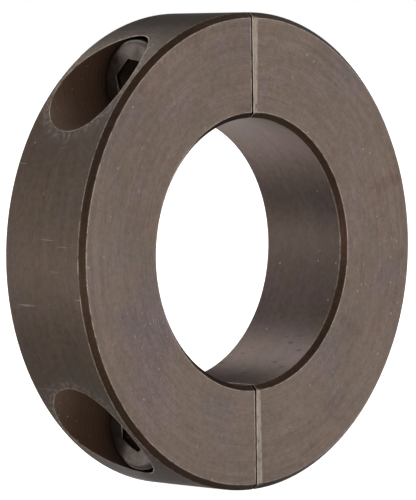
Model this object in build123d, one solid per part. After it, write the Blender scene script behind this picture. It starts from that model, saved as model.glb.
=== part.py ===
from build123d import *
import os

# Two-piece shaft collar. Z is up, the bore axis is Y and the split plane is X = 0.
# The origin is on the bore axis, halfway through the width. All sizes are in mm.

BORE_D = 30.16
OUTER_D = 53.98
WIDTH = 12.7
OUTER_CHAMFER = 0.65
BORE_CHAMFER = 0.64
SPLIT_GAP = 0.40

# Hand-filed bevel on the split edges of the tapped half, wider towards the rim.
BEVEL_WIDTH_AT_RIM = 0.75
BEVEL_WIDTH_AT_BORE = 0.50
BEVEL_DEPTH_RATIO = 0.25

# Cap screws, 1/4-28 UNF x 5/8 inch, lying along X above and below the bore.
SCREW_Z = 19.3
SCREW_LENGTH = 15.875
THREAD_D = 6.35
THREAD_PITCH = 25.4 / 28
HEAD_D = 9.525
HEAD_HEIGHT = 6.3
HEAD_EDGE_RADIUS = 0.6
SOCKET_FLATS = 4.7625
SOCKET_DEPTH = 3.05
SOCKET_MOUTH_D = 5.0
UPPER_SOCKET_TURN = 15
LOWER_SOCKET_TURN = 30
PLAIN_SHANK = 1.3
SCREW_TIP_CHAMFER = 0.75

COUNTERBORE_D = 10.32
SEAT_X = -6.4
CLEARANCE_D = 6.75
TAPPED_MOUTH_D = 7.0
TAPPED_MOUTH_DEPTH = 0.6
TAPPED_END_X = 12.9
TAP_DRILL_D = 5.4

# Thread form: radii of root and crest, and the width of the ridge at each.
SCREW_ROOT_R = 2.60
SCREW_CREST_R = THREAD_D / 2 - 0.03
SCREW_ROOT_WIDTH = 0.75 * THREAD_PITCH
SCREW_CREST_WIDTH = 0.14 * THREAD_PITCH
TAP_ROOT_R = 2.74
TAP_CREST_R = THREAD_D / 2 + 0.08
TAP_ROOT_WIDTH = 0.78 * THREAD_PITCH
TAP_CREST_WIDTH = 0.18 * THREAD_PITCH

# How far a thread ridge reaches into the rod that carries it.
RIDGE_BURIED = 0.05
FAR = 40.0


def along_x(x_start, z):
    """Plane at x_start whose normal is +X, centred on a screw axis."""
    return Plane(origin=(x_start, 0, z), x_dir=(0, 1, 0), z_dir=(1, 0, 0))


def rod(x_start, x_end, z, diameter):
    """Plain cylinder along X."""
    disc = along_x(x_start, z) * Circle(diameter / 2)
    return extrude(disc, amount=x_end - x_start, dir=(1, 0, 0))


def cone(x_start, x_end, z, start_diameter, end_diameter):
    """Truncated cone along X."""
    start = along_x(x_start, z) * Circle(start_diameter / 2)
    end = along_x(x_end, z) * Circle(end_diameter / 2)
    return loft([start, end])


def ridge_section(root_r, crest_r, root_width, crest_width):
    """Trapezoid of a thread ridge, drawn outwards from the root, with its flanks carried inwards."""
    rise = crest_r - root_r
    flank_slope = (root_width - crest_width) / 2 / rise
    buried_width = root_width + 2 * flank_slope * RIDGE_BURIED
    return make_face(
        Polyline(
            (-RIDGE_BURIED, -buried_width / 2),
            (rise, -crest_width / 2),
            (rise, crest_width / 2),
            (-RIDGE_BURIED, buried_width / 2),
            close=True,
        )
    )


def threaded_rod(x_start, x_end, z, root_r, crest_r, root_width, crest_width):
    """Rod with a right-hand thread. The phase depends on X alone, so mating threads line up."""
    path = Helix(pitch=THREAD_PITCH, height=x_end - x_start, radius=root_r)
    start = Plane(origin=path @ 0, x_dir=(1, 0, 0), z_dir=path % 0)
    section = start * ridge_section(root_r, crest_r, root_width, crest_width)
    ridge = sweep(section, path=path, is_frenet=True)
    phase = 360 * x_start / THREAD_PITCH
    core = rod(x_start - THREAD_PITCH, x_end + THREAD_PITCH, z, 2 * root_r)
    return core + along_x(x_start, z) * (Rot(0, 0, phase) * ridge)


def full_ring():
    """Chamfered ring around the Y axis."""
    inner = BORE_D / 2
    outer = OUTER_D / 2
    half = WIDTH / 2
    outline = Polyline(
        (inner + BORE_CHAMFER, -half),
        (outer - OUTER_CHAMFER, -half),
        (outer, -half + OUTER_CHAMFER),
        (outer, half - OUTER_CHAMFER),
        (outer - OUTER_CHAMFER, half),
        (inner + BORE_CHAMFER, half),
        (inner, half - BORE_CHAMFER),
        (inner, -half + BORE_CHAMFER),
        close=True,
    )
    return revolve(make_face(outline), axis=Axis.Y)


def half_ring(side):
    """Half of the ring on the given side of X, cut back by half of the split gap."""
    centre = side * (SPLIT_GAP / 2 + FAR / 2)
    return full_ring() & Pos(centre, 0, 0) * Box(FAR, FAR, 2 * FAR)


def bevel_section(z, width):
    """Triangle that a file removes from the front split edge at height z."""
    depth = width * BEVEL_DEPTH_RATIO
    edge = SPLIT_GAP / 2
    face = -WIDTH / 2
    return Plane.XY.offset(z) * make_face(
        Polyline(
            (edge + 1.5 * width, face - 0.5 * depth),
            (edge - 0.5 * width, face + 1.5 * depth),
            (edge - 0.5 * width, face - 0.5 * depth),
            close=True,
        )
    )


def bevel_cutter():
    """Tapered wedge along the upper front split edge."""
    slope = (BEVEL_WIDTH_AT_RIM - BEVEL_WIDTH_AT_BORE) / (OUTER_D / 2 - BORE_D / 2)
    low_z = BORE_D / 2 - 1
    high_z = OUTER_D / 2 + 1
    low = bevel_section(low_z, BEVEL_WIDTH_AT_BORE - slope)
    high = bevel_section(high_z, BEVEL_WIDTH_AT_RIM + slope)
    return loft([low, high])


def counterbored_half():
    """Half with the two clearance holes and the counterbores for the screw heads."""
    body = half_ring(-1)
    for z in (SCREW_Z, -SCREW_Z):
        body -= rod(-FAR, SEAT_X, z, COUNTERBORE_D)
        body -= rod(SEAT_X - 1, 1, z, CLEARANCE_D)
    return body


def tapped_half():
    """Half with two threaded holes, each drilled on through to the rim."""
    body = half_ring(1)
    upper = bevel_cutter()
    lower = mirror(upper, about=Plane.XY)
    for cutter in (upper, lower):
        body -= cutter
        body -= mirror(cutter, about=Plane.XZ)
    for z in (SCREW_Z, -SCREW_Z):
        body -= rod(-1, SPLIT_GAP / 2 + TAPPED_MOUTH_DEPTH, z, TAPPED_MOUTH_D)
        body -= threaded_rod(-1, TAPPED_END_X, z, TAP_ROOT_R, TAP_CREST_R, TAP_ROOT_WIDTH, TAP_CREST_WIDTH)
        body -= rod(TAPPED_END_X, FAR, z, TAP_DRILL_D)
    return body


def cap_screw(z, socket_turn):
    """Socket head cap screw with its seat at SEAT_X and its tip towards +X."""
    top_x = SEAT_X - HEAD_HEIGHT
    head = rod(top_x, SEAT_X, z, HEAD_D)
    top_edge = head.edges().sort_by(Axis.X)[0]
    head = fillet(top_edge, HEAD_EDGE_RADIUS)
    hexagon = RegularPolygon(SOCKET_FLATS / 2, 6, major_radius=False, rotation=socket_turn)
    head -= extrude(along_x(top_x, z) * hexagon, amount=SOCKET_DEPTH, dir=(1, 0, 0))
    mouth_depth = (SOCKET_MOUTH_D - SOCKET_FLATS) / 2
    head -= cone(top_x, top_x + mouth_depth, z, SOCKET_MOUTH_D, SOCKET_FLATS)
    drill_end = top_x + SOCKET_DEPTH + SOCKET_FLATS * 0.28
    head -= cone(top_x + SOCKET_DEPTH, drill_end, z, SOCKET_FLATS * 0.98, 0.2)

    tip_x = SEAT_X + SCREW_LENGTH
    thread_x = SEAT_X + PLAIN_SHANK
    thread = threaded_rod(
        thread_x - THREAD_PITCH / 2,
        tip_x + THREAD_PITCH / 2,
        z,
        SCREW_ROOT_R,
        SCREW_CREST_R,
        SCREW_ROOT_WIDTH,
        SCREW_CREST_WIDTH,
    )
    sleeve = rod(tip_x - SCREW_TIP_CHAMFER, tip_x + THREAD_D, z, 2 * THREAD_D)
    point = cone(tip_x - SCREW_TIP_CHAMFER, tip_x, z, THREAD_D, THREAD_D - 2 * SCREW_TIP_CHAMFER)
    thread -= sleeve - point
    shank = rod(SEAT_X - 0.5, thread_x, z, THREAD_D)
    return head + shank + thread


def write(node, shape):
    """Save one node as a STEP file named after it."""
    export_step(shape, f"parts/{node}.step")


os.makedirs("parts", exist_ok=True)
write("counterbored_half", counterbored_half())
write("tapped_half", tapped_half())
write("upper_cap_screw", cap_screw(SCREW_Z, UPPER_SOCKET_TURN))
write("lower_cap_screw", cap_screw(-SCREW_Z, LOWER_SOCKET_TURN))
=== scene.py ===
import math

import bpy
from mathutils import Matrix, Vector


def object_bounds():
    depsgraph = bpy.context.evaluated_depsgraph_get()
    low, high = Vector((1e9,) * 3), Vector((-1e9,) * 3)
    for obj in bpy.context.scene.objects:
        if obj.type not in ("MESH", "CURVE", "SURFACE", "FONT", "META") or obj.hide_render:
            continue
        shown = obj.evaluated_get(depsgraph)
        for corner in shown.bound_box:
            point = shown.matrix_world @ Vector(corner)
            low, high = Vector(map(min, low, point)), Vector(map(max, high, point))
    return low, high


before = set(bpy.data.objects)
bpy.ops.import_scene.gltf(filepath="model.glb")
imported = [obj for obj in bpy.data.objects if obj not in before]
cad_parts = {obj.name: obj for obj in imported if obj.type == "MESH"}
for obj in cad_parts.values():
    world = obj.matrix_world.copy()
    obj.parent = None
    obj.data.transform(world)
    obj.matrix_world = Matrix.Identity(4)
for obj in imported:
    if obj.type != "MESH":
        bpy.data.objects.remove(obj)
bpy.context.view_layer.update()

# Sizes of the CAD part, in mm. The bore axis is Y, the split plane is X = 0, and +Z is up.
# The materials place their detail in mm too.
BORE_R = 15.08
RIM_R = 26.99
HALF_WIDTH = 6.35
OUTER_CHAMFER = 0.65
BORE_CHAMFER = 0.64
SPLIT_X = 0.2
SCREW_Z = 19.3
COUNTERBORE_R = 5.16
HEAD_TOP_X = -12.7

# Limits just outside the socket's corners, the socket's flat floor and the filed bevel.
SOCKET_CORNER_R = 2.80
SOCKET_END_X = -9.2
BEVEL_END_X = 1.1
BEVEL_DEPTH = 0.22

# A point this near to a surface counts as on it, and the mask fades out over the blur beyond that.
ON_SURFACE = 0.03
MASK_BLUR = 0.02
CHAMFER_BLUR = 0.03

# Noise that is drawn out round the bore axis counts a radian as this many mm. It really is 15 to 27.
DRAWN_OUT_RADIAN = 3.0

# Colour of the oxide on the halves, by the value of a noise: browns, olive and a faint purple.
RING_OXIDE = [
    (0.30, (0.110, 0.080, 0.067)),
    (0.42, (0.141, 0.104, 0.089)),
    (0.50, (0.128, 0.101, 0.080)),
    (0.58, (0.143, 0.104, 0.099)),
    (0.72, (0.118, 0.089, 0.079)),
]
BLUISH_OXIDE = (0.118, 0.100, 0.104)
PALE_OXIDE = (0.178, 0.139, 0.117)
POCKET_OXIDE = [(0.30, (0.088, 0.044, 0.024)), (0.75, (0.205, 0.120, 0.072))]
SCREW_OXIDE = [(0.3, (0.066, 0.054, 0.048)), (0.5, (0.100, 0.084, 0.076)), (0.7, (0.140, 0.119, 0.108))]
SOCKET_OXIDE = (0.085, 0.055, 0.040)

# Colours of metal that shows through, and of the pits in it. The burr and edge metals also serve as
# painted glints.
SAWN_METAL = [(0.3, (0.10, 0.085, 0.07)), (0.7, (0.22, 0.19, 0.165))]
FILED_METAL = [(0.30, (0.075, 0.060, 0.048)), (0.41, (0.235, 0.200, 0.168)), (0.75, (0.350, 0.300, 0.256))]
SCRATCH_METAL = (0.34, 0.29, 0.26)
DOT_METAL = (0.36, 0.31, 0.28)
LIP_METAL = (0.24, 0.205, 0.19)
BURR_GLINT_METAL = (0.62, 0.54, 0.47)
EDGE_WEAR_AND_GLINT_METAL = (0.50, 0.44, 0.38)
SCREW_DOT_METAL = (0.30, 0.28, 0.26)
SCREW_EDGE_WEAR_AND_GLINT_METAL = (0.42, 0.39, 0.36)
PIT_COLOUR = (0.035, 0.026, 0.020)

# Painted light and shade: what each of these places multiplies the oxide's colour by. The rim, the bore
# wall and the chamfers are darkened as painted shade, and so is the pocket deeper in. The upper and lower
# bore come on top of the bore and brighten it as painted light.
RIM_PAINTED_SHADE = (0.66, 0.64, 0.60)
BORE_PAINTED_SHADE = (0.62, 0.62, 0.64)
UPPER_BORE_PAINTED_LIGHT = (2.9, 2.9, 3.0)
LOWER_BORE_PAINTED_LIGHT = (1.9, 1.9, 1.95)
CHAMFER_PAINTED_SHADE = (0.40, 0.32, 0.26)
DEEP_POCKET_PAINTED_SHADE = (0.88, 0.84, 0.82)

# The browner oxide in the pockets and sockets is less metallic than the rest.
POCKET_METALLIC = 0.3
SOCKET_METALLIC = 0.2

# Room that lights the object: its level and colour, and then the direction, inner and outer
# half-angle in degrees, and added strength of each patch in it.
ROOM_LEVEL = 0.50
ROOM_COLOUR = (1.0, 0.97, 0.94)
ROOM_PATCHES = [
    ((0.80, -0.60, 0.0), 20, 60, 0.20),
    ((-0.80, 0.60, 0.1), 20, 60, 0.25),
    ((0.0, -1.0, 0.05), 15, 35, 0.80),
    ((0.08, 0.70, 0.71), 10, 28, 0.60),
    ((0.72, 0.69, -0.06), 6, 18, 0.60),
    ((0.58, 0.62, 0.42), 15, 35, -0.45),
]

# Floor: half its side in metres, and the glow that it has when seen from above and at a glancing angle.
# The glow grows between two values of Facing, which is 0 from straight above and 1 along the floor.
FLOOR_HALF_SIDE = 9.0
FLOOR_GREYS = [(0.3, (0.80, 0.80, 0.80)), (0.7, (0.83, 0.83, 0.83))]
FLOOR_GLOW_COLOUR = (1.0, 0.975, 0.95)
FLOOR_GLOW_FROM_ABOVE = 0.15
FLOOR_GLOW_GLANCING = 1.1
FLOOR_GLOW_GROWS = (0.55, 0.92)

# Camera: degrees, metres from the part's origin, and focal length over the image's longer side.
CAMERA_AZIMUTH = -45.88
CAMERA_ELEVATION = 3.29
CAMERA_ROLL = -0.64
CAMERA_YAW = 0.097
CAMERA_DISTANCE = 0.4161
CAMERA_FOCAL_RATIO = 7.2998
SENSOR_WIDTH_MM = 36


# ---------------------------------------------------------------- node helpers

class Graph:
    """Short names for the shader nodes that the materials and the room use."""

    def __init__(self, tree):
        self.tree = tree
        self.tree.nodes.clear()

    def add(self, kind, values=None, **settings):
        node = self.tree.nodes.new(kind)
        for name, value in settings.items():
            setattr(node, name, value)
        for key, value in (values or {}).items():
            self.put(node.inputs[key], value)
        return node

    def put(self, socket, value):
        if isinstance(value, bpy.types.NodeSocket):
            self.tree.links.new(value, socket)
        else:
            socket.default_value = value

    def math(self, operation, a, b=0.0, clamp=False):
        return self.add("ShaderNodeMath", {0: a, 1: b}, operation=operation, use_clamp=clamp).outputs[0]

    def plus(self, *values):
        total = values[0]
        for value in values[1:]:
            total = self.math("ADD", total, value)
        return total

    def times(self, *values):
        """Product of numbers. The product of masks is 1 where all of them are."""
        product = values[0]
        for value in values[1:]:
            product = self.math("MULTIPLY", product, value)
        return product

    def weighted(self, *pairs):
        """Sum of values, each times its weight."""
        return self.plus(*(self.times(value, weight) for value, weight in pairs))

    def swing(self, value, amount):
        """How far a noise is from 0.5, its middle, times amount."""
        return self.times(self.math("SUBTRACT", value, 0.5), amount)

    def vector(self, operation, a, b=(0, 0, 0)):
        node = self.add("ShaderNodeVectorMath", {0: a, 1: b}, operation=operation)
        is_number = operation in ("LENGTH", "DOT_PRODUCT")
        return node.outputs["Value" if is_number else "Vector"]

    def combined(self, x, y, z):
        return self.add("ShaderNodeCombineXYZ", {"X": x, "Y": y, "Z": z}).outputs[0]

    def step(self, value, low, high, to_low=0.0, to_high=1.0):
        """Smooth change from to_low to to_high as value goes from low to high."""
        node = self.add(
            "ShaderNodeMapRange",
            {"Value": value, "From Min": low, "From Max": high, "To Min": to_low, "To Max": to_high},
            interpolation_type="SMOOTHSTEP",
        )
        return node.outputs["Result"]

    def above(self, value, limit, blur):
        """Mask that is 1 above limit and fades out over blur below it."""
        return self.step(value, limit - blur, limit)

    def below(self, value, limit, blur):
        """Mask that is 1 below limit and fades out over blur above it."""
        return self.step(value, limit + blur, limit)

    def outside(self, mask):
        return self.step(mask, 1.0, 0.0)

    def by_mask(self, mask, where_0, where_1):
        """Number that goes from where_0 to where_1 as the mask goes from 0 to 1."""
        return self.step(mask, 0.0, 1.0, where_0, where_1)

    def noise(self, position, scale, detail=2.0, roughness=0.5, distortion=0.0):
        """Noise from 0 to 1, where scale is about the number of its blobs per mm of the position."""
        node = self.add(
            "ShaderNodeTexNoise",
            {
                "Vector": position,
                "Scale": scale,
                "Detail": detail,
                "Roughness": roughness,
                "Distortion": distortion,
            },
        )
        return node.outputs["Fac"]

    def lines(self, distance, scale, detail=2.0, roughness=0.6):
        """Noise along one number only, for tool marks."""
        node = self.add(
            "ShaderNodeTexNoise",
            {"W": distance, "Scale": scale, "Detail": detail, "Roughness": roughness},
            noise_dimensions="1D",
        )
        return node.outputs["Fac"]

    def mix(self, factor, a, b, blend="MIX"):
        node = self.add("ShaderNodeMix", data_type="RGBA", blend_type=blend, clamp_factor=True)
        self.put(node.inputs[0], factor)
        self.put(node.inputs[6], a)
        self.put(node.inputs[7], b)
        return node.outputs[2]

    def ramp(self, value, stops):
        """Colour that follows value between stops, each a value and a colour."""
        node = self.add("ShaderNodeValToRGB", {"Fac": value})
        elements = node.color_ramp.elements
        while len(elements) < len(stops):
            elements.new(0.5)
        for element, (position, colour) in zip(elements, stops):
            element.position = position
            element.color = (*colour, 1)
        return node.outputs["Color"]

    def connect_output(self, kind, shader):
        output = self.add(kind)
        self.tree.links.new(shader.outputs[0], output.inputs["Surface"])


def new_material(name):
    material = bpy.data.materials.new(name)
    material.use_nodes = True
    return material, Graph(material.node_tree)


# ---------------------------------------------------------------- surface detail

def position_mm(graph):
    coordinates = graph.add("ShaderNodeTexCoord").outputs["Object"]
    node = graph.add("ShaderNodeVectorMath", {0: coordinates, "Scale": 1000.0}, operation="SCALE")
    return node.outputs["Vector"]


def rounded_edge(graph, radius_mm):
    """Normal of a slightly rounded edge, and a wider mask that is 1 on the edge and 0 away from it."""
    bevel = graph.add("ShaderNodeBevel", {"Radius": radius_mm / 1000}, samples=6)
    wide = graph.add("ShaderNodeBevel", {"Radius": 2 * radius_mm / 1000}, samples=6)
    plain = graph.add("ShaderNodeNewGeometry").outputs["Normal"]
    agreement = graph.vector("DOT_PRODUCT", wide.outputs["Normal"], plain)
    off_edge = 0.995
    on_edge = 0.94
    return bevel.outputs["Normal"], graph.step(agreement, off_edge, on_edge)


def scratches(graph, position, turn, fineness, rarity, seed):
    """Thin straight marks in the direction that turn gives, in some places only."""
    lengthwise = 0.09
    turned = graph.add(
        "ShaderNodeMapping",
        {
            "Vector": position,
            "Location": (seed, seed * 0.7, -seed),
            "Rotation": turn,
            "Scale": (fineness, lengthwise, fineness * 0.3),
        },
    ).outputs["Vector"]
    marks = graph.noise(turned, 1.0, detail=1.0, distortion=0.15)
    places = graph.noise(position, 0.11 + 0.01 * seed, detail=1.0)
    return graph.times(graph.step(marks, rarity, rarity + 0.05), graph.step(places, 0.52, 0.62))


def specks(graph, position, cells_per_mm, size, share):
    """Small round dots in a share of the cells. The size is a part of a cell."""
    cells = graph.add("ShaderNodeTexVoronoi", {"Vector": position, "Scale": cells_per_mm})
    pick = graph.add("ShaderNodeSeparateColor", {"Color": cells.outputs["Color"]})
    chosen = graph.step(pick.outputs[0], 1 - share, 1 - share + 0.01)
    return graph.times(chosen, graph.step(cells.outputs["Distance"], size, size * 0.4))


class Steel:
    """A steel material in the making: its colour, roughness, metallic share and height so far.

    The shift, in mm, gives each piece its own part of the noise.
    """

    def __init__(self, name, shift):
        self.material, self.graph = new_material(name)
        on_part = position_mm(self.graph)
        self.position = self.graph.vector("ADD", on_part, shift)
        self.x, self.y, self.z = self.graph.add("ShaderNodeSeparateXYZ", {"Vector": on_part}).outputs
        off_height = self.graph.math("SUBTRACT", self.graph.math("ABSOLUTE", self.z), SCREW_Z)
        self.from_screw_axis = self.graph.vector("LENGTH", self.graph.combined(0.0, self.y, off_height))
        self.colour = None
        self.roughness = None
        self.metallic = 1.0
        self.height = None
        self.normal = None

    def vary(self, share, value, dark_stop, light_stop):
        """Darken and lighten the colour as value goes between two stops, each a value and a grey."""
        stops = [(position, (grey, grey, grey)) for position, grey in (dark_stop, light_stop)]
        self.colour = self.graph.mix(share, self.colour, self.graph.ramp(value, stops), "MULTIPLY")

    def tint(self, mask, tint):
        self.colour = self.graph.mix(mask, self.colour, (*tint, 1), "MULTIPLY")

    def cover(self, mask, share, colour):
        """Lay a share of another colour over the masked place. The colour is plain, or from a ramp."""
        over = (*colour, 1) if isinstance(colour, tuple) else colour
        self.colour = self.graph.mix(self.graph.times(mask, share), self.colour, over)

    def raise_by(self, value, amount=1.0):
        self.height = self.graph.plus(self.height, self.graph.times(value, amount))

    def finish(self, bump_mm):
        bump = self.graph.add(
            "ShaderNodeBump",
            {"Strength": 1.0, "Distance": bump_mm / 1000, "Height": self.height, "Normal": self.normal},
        )
        shader = self.graph.add(
            "ShaderNodeBsdfPrincipled",
            {
                "Base Color": self.colour,
                "Roughness": self.roughness,
                "Metallic": self.metallic,
                "Normal": bump.outputs["Normal"],
            },
        )
        self.graph.connect_output("ShaderNodeOutputMaterial", shader)
        return self.material


# ---------------------------------------------------------------- steel of the two halves

class RingPlaces:
    """Where a point of a half is: its distance from the bore axis, and masks of the half's surfaces."""

    def __init__(self, steel):
        graph = steel.graph
        self.radius = graph.vector("LENGTH", graph.combined(steel.x, 0.0, steel.z))
        self.from_middle = graph.math("ABSOLUTE", steel.y)
        self.on_rim = graph.above(self.radius, RIM_R - ON_SURFACE, MASK_BLUR)
        self.on_bore = graph.below(self.radius, BORE_R + ON_SURFACE, MASK_BLUR)
        self.on_wall = graph.math("MAXIMUM", self.on_rim, self.on_bore)
        self.chamfered = self.chamfers(graph)

    def chamfers(self, graph):
        off_faces = graph.below(self.from_middle, HALF_WIDTH - ON_SURFACE, MASK_BLUR)
        by_rim = graph.above(self.radius, RIM_R - OUTER_CHAMFER, CHAMFER_BLUR)
        by_bore = graph.below(self.radius, BORE_R + BORE_CHAMFER, CHAMFER_BLUR)
        outer = graph.times(off_faces, by_rim, graph.outside(self.on_rim))
        inner = graph.times(off_faces, by_bore, graph.outside(self.on_bore))
        return graph.math("MAXIMUM", outer, inner)


def oxide_blotches(steel):
    graph = steel.graph
    blotch = graph.noise(steel.position, 0.16, detail=6.0, roughness=0.62, distortion=0.4)
    steel.colour = graph.ramp(blotch, RING_OXIDE)
    bluish = graph.noise(graph.vector("ADD", steel.position, (7, 41, 23)), 0.10, detail=4.0, roughness=0.6)
    steel.cover(graph.step(bluish, 0.50, 0.66), 0.55, BLUISH_OXIDE)
    clouds = graph.noise(graph.vector("ADD", steel.position, (31, 17, 5)), 0.055, detail=3.0)
    steel.cover(graph.step(clouds, 0.35, 0.65), 0.35, PALE_OXIDE)


def turning_marks(steel, ring, seed):
    """Fine lines and broad bands round the bore axis, on the faces by radius and on the walls by Y.

    The fine lines wander a little. The broad bands start far apart, so that no two are alike.
    """
    graph = steel.graph
    wander = graph.times(graph.noise(steel.position, 0.05, detail=1.0), 0.5)
    fine_on_faces = graph.lines(graph.plus(ring.radius, wander), 5.5, roughness=0.7)
    fine_on_walls = graph.lines(graph.plus(steel.y, wander), 5.0, roughness=0.7)
    broad_on_faces = graph.lines(graph.plus(ring.radius, 40.0 + seed), 1.1, detail=3.0)
    broad_on_walls = graph.lines(graph.plus(steel.y, 80.0 + seed), 0.9, detail=3.0)
    fine = graph.weighted((fine_on_faces, 0.5), (fine_on_walls, 0.5))
    broad = graph.weighted((broad_on_faces, 0.5), (broad_on_walls, 0.5))
    return fine, broad


def drawn_out_position(steel, ring, seed, side):
    """Position in which noise is drawn out round the bore axis. The seam of the angle is off this half."""
    graph = steel.graph
    angle = graph.math("ARCTAN2", steel.z, graph.times(steel.x, side))
    around = graph.combined(ring.radius, steel.y, graph.times(angle, DRAWN_OUT_RADIAN))
    return graph.vector("ADD", around, (seed * 3.1, seed * 5.9, seed * 2.3))


def lathe_finish(steel, ring, seed, side):
    """Mottling, turning marks and grain of the colour, with the roughness and height that go with them."""
    graph = steel.graph
    fine, broad = turning_marks(steel, ring, seed)
    drawn_out = drawn_out_position(steel, ring, seed, side)
    mottled = graph.noise(steel.position, 1.6, detail=4.0, roughness=0.7)
    streaks = graph.noise(drawn_out, 1.5, detail=3.0, roughness=0.6)
    even_grain = graph.noise(steel.position, 4.5, detail=3.0, roughness=0.75)
    drawn_grain = graph.noise(drawn_out, 4.5, detail=3.0, roughness=0.75)
    grain = graph.weighted((even_grain, 0.35), (drawn_grain, 0.65))
    drawn_upright = graph.vector("MULTIPLY", steel.position, (1.3, 3.4, 0.22))
    upright_streaks = graph.noise(drawn_upright, 1.0, detail=3.0)

    steel.vary(0.60, mottled, (0.25, 0.62), (0.75, 1.40))
    steel.vary(graph.by_mask(ring.on_wall, 0.26, 0.14), streaks, (0.3, 0.72), (0.7, 1.28))
    steel.vary(0.45, fine, (0.3, 0.70), (0.7, 1.28))
    steel.vary(0.45, broad, (0.3, 0.82), (0.7, 1.16))
    steel.vary(graph.by_mask(ring.on_wall, 0.52, 0.28), grain, (0.3, 0.74), (0.7, 1.26))
    steel.roughness = graph.plus(0.40, graph.swing(mottled, 0.25), graph.swing(fine, 0.12))
    steel.height = graph.weighted((fine, 0.8), (mottled, 0.7), (upright_streaks, 0.25))


def painted_wall_light_and_shade(steel, ring):
    """Painted shade that makes the rim and the bore wall darker than the faces, and painted light high and
    low in the bore.
    """
    graph = steel.graph
    # Painted shade on the rim and the bore wall, then painted light high and low in the bore.
    steel.tint(ring.on_rim, RIM_PAINTED_SHADE)
    steel.tint(ring.on_bore, BORE_PAINTED_SHADE)
    steel.tint(graph.times(ring.on_bore, graph.above(steel.z, 13.0, blur=8.0)), UPPER_BORE_PAINTED_LIGHT)
    steel.tint(graph.times(ring.on_bore, graph.below(steel.z, -14.5, blur=6.5)), LOWER_BORE_PAINTED_LIGHT)


def scratches_and_pits(steel, ring, seed):
    """Scratches off the bore wall, bright dots and dark pits everywhere, and gouges low in the bore."""
    graph = steel.graph
    position = steel.position
    marks = graph.math(
        "MAXIMUM",
        scratches(graph, position, (0.3, 0.5, 0.2), fineness=5.0, rarity=0.70, seed=1.0 + seed),
        scratches(graph, position, (1.2, -0.7, 1.0), fineness=6.0, rarity=0.71, seed=3.0 + seed),
    )
    marks = graph.times(marks, graph.outside(ring.on_bore))
    dots = specks(graph, position, cells_per_mm=0.85, size=0.16, share=0.10)
    shifted = graph.vector("ADD", position, (3.3, 1.1, 8.8))
    small_pits = specks(graph, shifted, cells_per_mm=1.9, size=0.16, share=0.12)
    drawn_along_bore = graph.vector("MULTIPLY", position, (1.0, 0.45, 1.0))
    long_pits = specks(graph, drawn_along_bore, cells_per_mm=1.1, size=0.30, share=0.30)
    gouges = graph.times(ring.on_bore, long_pits, graph.below(steel.z, -12.0, blur=3.0))
    pits = graph.math("MAXIMUM", small_pits, gouges)

    steel.cover(marks, 0.45, SCRATCH_METAL)
    steel.cover(dots, 0.45, DOT_METAL)
    steel.cover(pits, 0.6, PIT_COLOUR)
    steel.raise_by(marks, -0.8)
    steel.raise_by(pits, -1.0)


def sawn_split_face(steel):
    """Straighter, coarser marks on the split face."""
    graph = steel.graph
    sawn = graph.below(graph.math("ABSOLUTE", steel.x), SPLIT_X + 0.01, blur=0.01)
    saw_marks = graph.lines(graph.plus(steel.z, graph.times(steel.y, 0.22)), 3.2, detail=3.0)
    steel.raise_by(graph.times(sawn, saw_marks))
    steel.cover(sawn, 0.5, graph.ramp(saw_marks, SAWN_METAL))


def bored_pockets(steel, ring):
    """Counterbores: cutter marks round the screw axes, browner oxide, painted shade towards the screw head,
    burrs painted as bright glints, and a rubbed lip.
    """
    graph = steel.graph
    pocket = graph.times(
        graph.below(steel.from_screw_axis, COUNTERBORE_R + 0.005, blur=0.015),
        graph.above(ring.radius, BORE_R + ON_SURFACE + MASK_BLUR, MASK_BLUR),
        graph.below(steel.x, -SPLIT_X - 0.05, blur=0.03),
    )
    ring.chamfered = graph.times(ring.chamfered, graph.outside(pocket))
    cutter_marks = graph.lines(graph.plus(steel.x, 55.0), 4.0, detail=3.0, roughness=0.7)
    steel.metallic = graph.by_mask(pocket, 1.0, POCKET_METALLIC)
    steel.raise_by(graph.times(pocket, cutter_marks), 1.2)

    lip = graph.times(ring.on_rim, graph.below(steel.from_screw_axis, COUNTERBORE_R + 0.1, blur=1.5))
    patches = graph.noise(steel.position, 2.2, detail=5.0, roughness=0.75)
    steel.cover(graph.times(lip, graph.step(patches, 0.46, 0.62)), 0.65, LIP_METAL)
    steel.cover(pocket, 0.75, graph.ramp(cutter_marks, POCKET_OXIDE))
    # Painted shade: the pocket gets darker towards the screw head.
    steel.tint(graph.times(pocket, graph.above(steel.x, -13.5, blur=7.5)), DEEP_POCKET_PAINTED_SHADE)
    # Painted glints: bright specks near the mouth stand for burrs catching the light.
    near_mouth = graph.above(ring.radius, RIM_R - 0.3, blur=2.3)
    burr_glints = specks(graph, steel.position, cells_per_mm=2.0, size=0.26, share=0.22)
    steel.cover(graph.times(pocket, burr_glints, near_mouth), 0.9, BURR_GLINT_METAL)


def filed_bevel(steel, ring):
    """Brighter filed metal on the bevel along the split edges."""
    graph = steel.graph
    on_bevel = graph.times(
        graph.below(ring.from_middle, HALF_WIDTH - 0.008, blur=0.004),
        graph.above(ring.from_middle, HALF_WIDTH - BEVEL_DEPTH, blur=0.04),
        graph.below(steel.x, BEVEL_END_X, blur=0.1),
        graph.above(steel.x, SPLIT_X + 0.006, blur=0.003),
    )
    drawn_along_edge = graph.vector("MULTIPLY", steel.position, (4.0, 4.0, 1.2))
    file_marks = graph.noise(drawn_along_edge, 1.0, detail=4.0, roughness=0.7)
    steel.cover(on_bevel, 0.9, graph.ramp(file_marks, FILED_METAL))
    steel.raise_by(graph.times(on_bevel, file_marks), 1.4)


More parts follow.
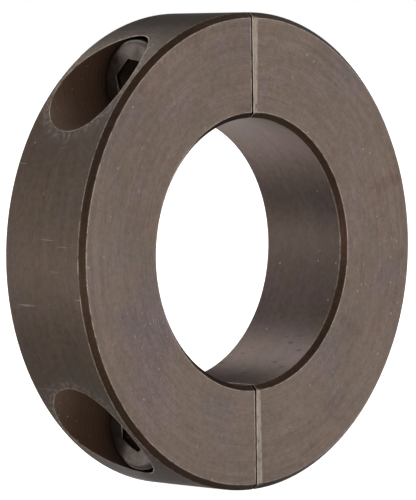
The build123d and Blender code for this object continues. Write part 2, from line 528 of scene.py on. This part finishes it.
def worn_and_glinting_edges(steel):
    """Rounded edges, worn to smoother, brighter metal in patches that also serve as painted glints."""
    graph = steel.graph
    steel.normal, edge = rounded_edge(graph, radius_mm=0.11)
    patches = graph.noise(steel.position, 0.9, detail=4.0, roughness=0.7)
    wear_and_glint = graph.times(edge, graph.step(patches, 0.34, 0.58, 0.15, 1.0))
    # Worn edge metal, made bright as painted glints.
    steel.cover(wear_and_glint, 0.8, EDGE_WEAR_AND_GLINT_METAL)
    steel.roughness = graph.math("SUBTRACT", steel.roughness, graph.times(wear_and_glint, 0.10), clamp=True)


def ring_steel(name, seed, side):
    """Steel of the half on the given side of X: -1 has the counterbores, +1 has the filed bevel."""
    steel = Steel(name, (seed * 13.1, seed * 7.7, seed * 5.3))
    ring = RingPlaces(steel)
    oxide_blotches(steel)
    lathe_finish(steel, ring, seed, side)
    painted_wall_light_and_shade(steel, ring)
    scratches_and_pits(steel, ring, seed)
    sawn_split_face(steel)
    if side < 0:
        bored_pockets(steel, ring)
    else:
        filed_bevel(steel, ring)
    # Painted shade: the chamfers are darkened.
    steel.tint(ring.chamfered, CHAMFER_PAINTED_SHADE)
    worn_and_glinting_edges(steel)
    return steel.finish(bump_mm=0.0035)


# ---------------------------------------------------------------- steel of the cap screws

def screw_steel(name, seed):
    steel = Steel(name, (seed * 9.1, seed * 3.7, seed * 6.1))
    graph = steel.graph
    blotch = graph.noise(steel.position, 0.9, detail=6.0, roughness=0.65, distortion=0.3)
    grit = graph.noise(steel.position, 7.0, detail=3.0, roughness=0.7)
    steel.colour = graph.ramp(blotch, SCREW_OXIDE)
    steel.vary(0.6, grit, (0.3, 0.7), (0.7, 1.3))

    socket = graph.times(
        graph.above(steel.x, HEAD_TOP_X + 0.9, blur=0.6),
        graph.below(steel.from_screw_axis, SOCKET_CORNER_R, blur=0.15),
        graph.below(steel.x, SOCKET_END_X, blur=0.2),
    )
    steel.cover(socket, 0.85, SOCKET_OXIDE)
    steel.metallic = graph.by_mask(socket, 1.0, SOCKET_METALLIC)
    dots = specks(graph, steel.position, cells_per_mm=1.6, size=0.18, share=0.10)
    steel.cover(dots, 0.5, SCREW_DOT_METAL)

    rings_on_ends = graph.lines(graph.plus(steel.from_screw_axis, 20.0 + seed), 4.0)
    rings_on_sides = graph.lines(graph.plus(steel.x, 70.0 + seed), 5.0)
    steel.roughness = graph.plus(0.34, graph.swing(grit, 0.30))
    steel.height = graph.weighted((grit, 0.8), (rings_on_ends, 0.5), (rings_on_sides, 0.4))

    steel.normal, edge = rounded_edge(graph, radius_mm=0.06)
    patches = graph.noise(steel.position, 1.4, detail=3.0)
    # Worn edge metal, made bright as painted glints.
    steel.cover(graph.times(edge, graph.step(patches, 0.38, 0.60)), 0.7, SCREW_EDGE_WEAR_AND_GLINT_METAL)
    return steel.finish(bump_mm=0.004)


def paint(node, material):
    for material_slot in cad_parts[node].material_slots:
        material_slot.material = material


# ---------------------------------------------------------------- floor, light and camera

def make_floor():
    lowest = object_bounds()[0].z
    mesh = bpy.data.meshes.new("floor")
    side = FLOOR_HALF_SIDE
    corners = [(-side, -side, lowest), (side, -side, lowest), (side, side, lowest), (-side, side, lowest)]
    mesh.from_pydata(corners, [], [(0, 1, 2, 3)])
    floor = bpy.data.objects.new("floor", mesh)
    bpy.context.scene.collection.objects.link(floor)
    mesh.materials.append(floor_material())


def floor_material():
    """Off-white, with a glow at glancing angles that lets the floor run into the white backdrop."""
    material, graph = new_material("floor_white")
    paper = graph.noise(position_mm(graph), 0.02, detail=3.0)
    facing = graph.add("ShaderNodeLayerWeight", {"Blend": 0.5}).outputs["Facing"]
    glow = graph.step(facing, *FLOOR_GLOW_GROWS, FLOOR_GLOW_FROM_ABOVE, FLOOR_GLOW_GLANCING)
    shader = graph.add(
        "ShaderNodeBsdfPrincipled",
        {
            "Base Color": graph.ramp(paper, FLOOR_GREYS),
            "Roughness": 0.9,
            "Specular IOR Level": 0.1,
            "Emission Color": (*FLOOR_GLOW_COLOUR, 1),
            "Emission Strength": glow,
        },
    )
    graph.connect_output("ShaderNodeOutputMaterial", shader)
    return material


def patch_of_room(graph, direction, towards, inner_degrees, outer_degrees, strength):
    """Soft round patch of light, or of shade where the strength is below zero."""
    closeness = graph.vector("DOT_PRODUCT", direction, tuple(Vector(towards).normalized()))
    inner = math.cos(math.radians(inner_degrees))
    outer = math.cos(math.radians(outer_degrees))
    return graph.step(closeness, outer, inner, 0.0, strength)


def make_world():
    """White backdrop for the camera. The object itself is lit by a dimmer room with soft patches."""
    world = bpy.data.worlds.new("studio")
    bpy.context.scene.world = world
    world.use_nodes = True
    graph = Graph(world.node_tree)
    direction = graph.add("ShaderNodeTexCoord").outputs["Generated"]
    patches = [patch_of_room(graph, direction, *patch) for patch in ROOM_PATCHES]
    room = graph.add(
        "ShaderNodeBackground",
        {"Color": (*ROOM_COLOUR, 1), "Strength": graph.plus(ROOM_LEVEL, *patches)},
    )
    backdrop = graph.add("ShaderNodeBackground", {"Color": (1, 1, 1, 1), "Strength": 1.0})
    seen_by_camera = graph.add("ShaderNodeLightPath").outputs["Is Camera Ray"]
    either = graph.add("ShaderNodeMixShader", {0: seen_by_camera, 1: room.outputs[0], 2: backdrop.outputs[0]})
    graph.connect_output("ShaderNodeOutputWorld", either)


def soft_box(name, place, side, power):
    """Square lamp that faces the object, in metres and watts."""
    light = bpy.data.lights.new(name, "AREA")
    light.shape = "SQUARE"
    light.size = side
    light.energy = power
    lamp = bpy.data.objects.new(name, light)
    lamp.location = place
    lamp.rotation_mode = "QUATERNION"
    lamp.rotation_quaternion = (-Vector(place)).to_track_quat("-Z", "Y")
    lamp.visible_camera = False
    bpy.context.scene.collection.objects.link(lamp)


def camera_matrix():
    """Camera that looks at the origin, rolled, then turned a little about its own upright axis."""
    azimuth = math.radians(CAMERA_AZIMUTH)
    elevation = math.radians(CAMERA_ELEVATION)
    roll = math.radians(CAMERA_ROLL)
    level_back = Vector((math.sin(azimuth), -math.cos(azimuth), 0))
    back = math.cos(elevation) * level_back + math.sin(elevation) * Vector((0, 0, 1))
    level_right = (-back).cross(Vector((0, 0, 1))).normalized()
    level_up = level_right.cross(-back)
    right = math.cos(roll) * level_right + math.sin(roll) * level_up
    up = math.cos(roll) * level_up - math.sin(roll) * level_right
    turn = Matrix((right, up, back)).transposed().to_4x4()
    yaw = Matrix.Rotation(math.radians(CAMERA_YAW), 4, "Y")
    return Matrix.Translation(back * CAMERA_DISTANCE) @ turn @ yaw


def make_camera():
    data = bpy.data.cameras.new("camera")
    data.sensor_width = SENSOR_WIDTH_MM
    data.lens = SENSOR_WIDTH_MM * CAMERA_FOCAL_RATIO
    data.clip_start = 0.01
    data.clip_end = 20
    camera = bpy.data.objects.new("camera", data)
    camera.matrix_world = camera_matrix()
    bpy.context.scene.collection.objects.link(camera)
    bpy.context.scene.camera = camera


paint("counterbored_half", ring_steel("oxide_counterbored_half", seed=1.0, side=-1.0))
paint("tapped_half", ring_steel("oxide_tapped_half", seed=2.0, side=1.0))
paint("upper_cap_screw", screw_steel("oxide_upper_screw", seed=1.0))
paint("lower_cap_screw", screw_steel("oxide_lower_screw", seed=2.0))

make_floor()
make_world()
soft_box("right_box", (0.55, -0.50, 0.20), side=0.5, power=0.35)
soft_box("left_box", (-0.60, 0.55, 0.20), side=0.5, power=0.20)
soft_box("top_box", (0.1, 0.45, 0.70), side=0.4, power=0.35)
make_camera()
bpy.context.scene.view_settings.view_transform = "Standard"
